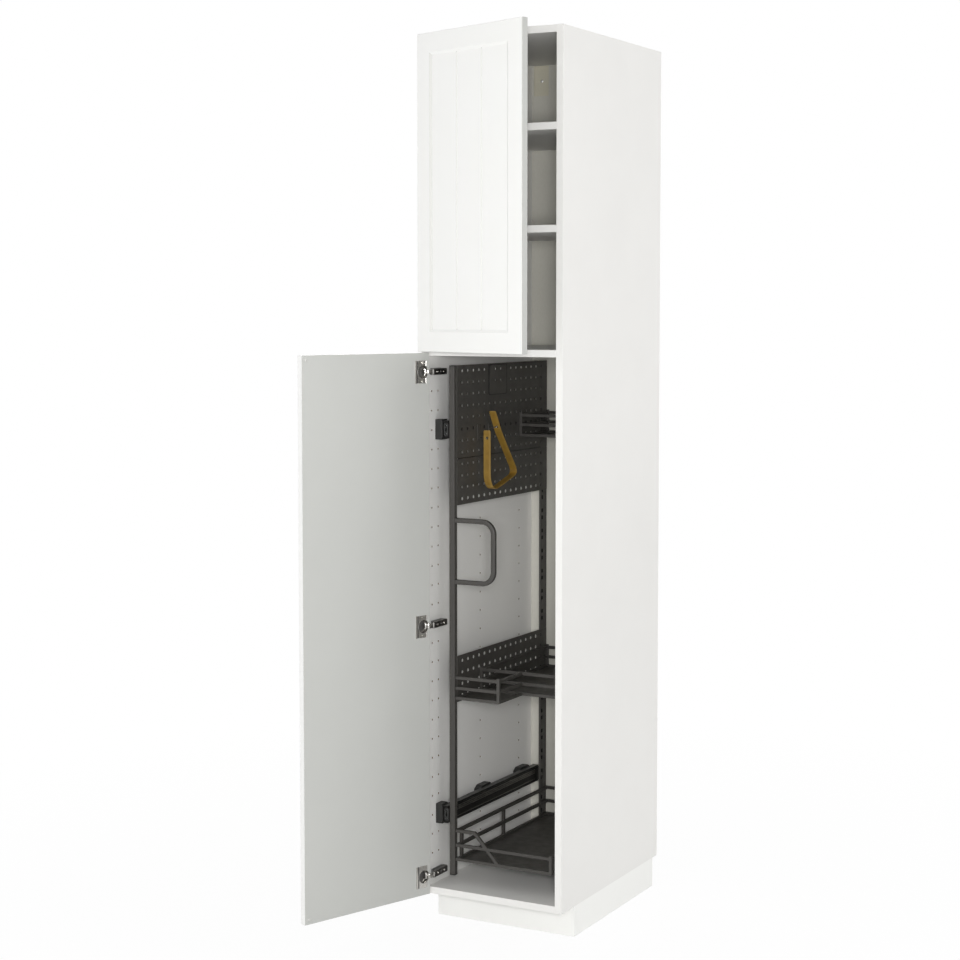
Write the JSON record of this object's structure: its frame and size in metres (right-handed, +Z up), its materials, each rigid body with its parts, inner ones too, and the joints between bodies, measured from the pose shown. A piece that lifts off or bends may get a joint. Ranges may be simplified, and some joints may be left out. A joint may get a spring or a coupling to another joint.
{
  "type": "fitted tall kitchen cabinet",
  "caption": "Tall white kitchen cabinet with an upper and a lower door, adjustable shelves and a dark pull-out cleaning organiser with perforated sheets and baskets.",
  "frame": {"origin": "on the floor, under the middle of the carcass's footprint", "axes": "+X to the right seen from the front, +Y towards the wall behind, +Z up; the doors face -Y"},
  "size_m": [0.5287, 0.9799, 2.28],
  "materials": {
    "white_board": "white melamine foil, satin",
    "white_door": "white lacquer foil, satin",
    "back_board": "thin white-faced fibreboard, matt",
    "white_plastic": "soft white",
    "steel": "zinc plated",
    "hinge_dark": "dark plated",
    "nickel": "bright nickel",
    "runner_black": "black, semi-matt",
    "dark_metal": "dark grey powder coat",
    "dark_plastic": "black, matt",
    "strap": "ochre, grained"
  },
  "bodies": {
    "carcass": {"back_joint_strip": "white_plastic", "back_panel_lower": "back_board", "back_panel_upper": "back_board", "bottom_panel": "white_board", "divider_shelf": "white_board", "leg_sleeves": "dark_plastic", "lower_hinge_arms": "hinge_dark", "lower_hinge_plates": "steel", "lower_runner_outer": "runner_black", "plinth_clips": "dark_plastic", "plinth_front": "white_door", "plinth_side_left": "white_door", "plinth_side_right": "white_door", "runner_brackets": "dark_plastic", "shelf_lower": "white_board", "shelf_pins": "steel", "shelf_upper": "white_board", "side_panel_left": "white_board", "side_panel_right": "white_board", "top_panel": "white_board", "upper_hinge_arms": "hinge_dark", "upper_hinge_plates": "steel", "upper_runner_outer": "runner_black", "wall_brackets": "steel"},
    "lower_links": {"lower_hinge_links": "nickel"},
    "lower_door": {"lower_door": "white_door", "lower_door_bumpers": "white_plastic", "lower_hinge_cups": "nickel"},
    "upper_links": {"upper_hinge_links": "nickel"},
    "upper_door": {"upper_door": "white_door", "upper_door_bumpers": "white_plastic", "upper_hinge_cups": "nickel"},
    "runner_carriage": {"lower_runner_middle": "runner_black", "upper_runner_middle": "runner_black"},
    "pull_out": {"basket_bottom": "dark_metal", "basket_floors": "dark_metal", "basket_middle_front": "dark_metal", "basket_middle_rear": "dark_metal", "basket_top": "dark_metal", "front_post": "dark_metal", "front_post_caps": "dark_plastic", "hanging_strap": "strap", "holder_plate": "dark_metal", "lower_runner_inner": "runner_black", "organiser_sheet_middle": "dark_metal", "organiser_sheet_second": "dark_metal", "organiser_sheet_top": "dark_metal", "pull_handle": "dark_metal", "rear_post": "dark_metal", "strap_hooks": "nickel", "upper_runner_inner": "runner_black"},
    "foot_front_left": {"foot_front_left": "dark_plastic"},
    "foot_front_right": {"foot_front_right": "dark_plastic"},
    "foot_rear_left": {"foot_rear_left": "dark_plastic"},
    "foot_rear_right": {"foot_rear_right": "dark_plastic"}
  },
  "joints": [
    {"name": "lower_hinge_link_pivot", "type": "hinge", "parent": "carcass", "child": "lower_links", "pos_m": [-0.16897, -0.29532, 0.78], "axis": [0, 0, -1], "range_deg": [0, 28.95]},
    {"name": "lower_door_pivot", "type": "hinge", "parent": "lower_links", "child": "lower_door", "pos_m": [-0.18084, -0.31524, 0.78], "axis": [0, 0, -1], "range_deg": [-139.45, 0]},
    {"name": "upper_hinge_link_pivot", "type": "hinge", "parent": "carcass", "child": "upper_links", "pos_m": [-0.16897, -0.29532, 1.88], "axis": [0, 0, -1], "range_deg": [-23.48, 5.48]},
    {"name": "upper_door_pivot", "type": "hinge", "parent": "upper_links", "child": "upper_door", "pos_m": [-0.18779, -0.30886, 1.88], "axis": [0, 0, -1], "range_deg": [-26.38, 113.08]},
    {"name": "runner_carriage_slide", "type": "slide", "parent": "carcass", "child": "runner_carriage", "axis": [0, -1, 0], "range_m": [0, 0.23]},
    {"name": "pull_out_slide", "type": "slide", "parent": "runner_carriage", "child": "pull_out", "axis": [0, -1, 0], "range_m": [0, 0.23]},
    {"name": "foot_front_left_turn", "type": "hinge", "parent": "carcass", "child": "foot_front_left", "pos_m": [-0.15, -0.17, 0.03], "axis": [0, 0, 1], "continuous": true},
    {"name": "foot_front_right_turn", "type": "hinge", "parent": "carcass", "child": "foot_front_right", "pos_m": [0.15, -0.17, 0.03], "axis": [0, 0, 1], "continuous": true},
    {"name": "foot_rear_left_turn", "type": "hinge", "parent": "carcass", "child": "foot_rear_left", "pos_m": [-0.15, 0.24, 0.03], "axis": [0, 0, 1], "continuous": true},
    {"name": "foot_rear_right_turn", "type": "hinge", "parent": "carcass", "child": "foot_rear_right", "pos_m": [0.15, 0.24, 0.03], "axis": [0, 0, 1], "continuous": true}
  ],
  "couplings": [
    {"joint": "lower_hinge_link_pivot", "follows": "lower_door_pivot", "ratio": -0.20761},
    {"joint": "upper_hinge_link_pivot", "follows": "upper_door_pivot", "ratio": -0.20761},
    {"joint": "runner_carriage_slide", "follows": "pull_out_slide", "ratio": 1}
  ]
}
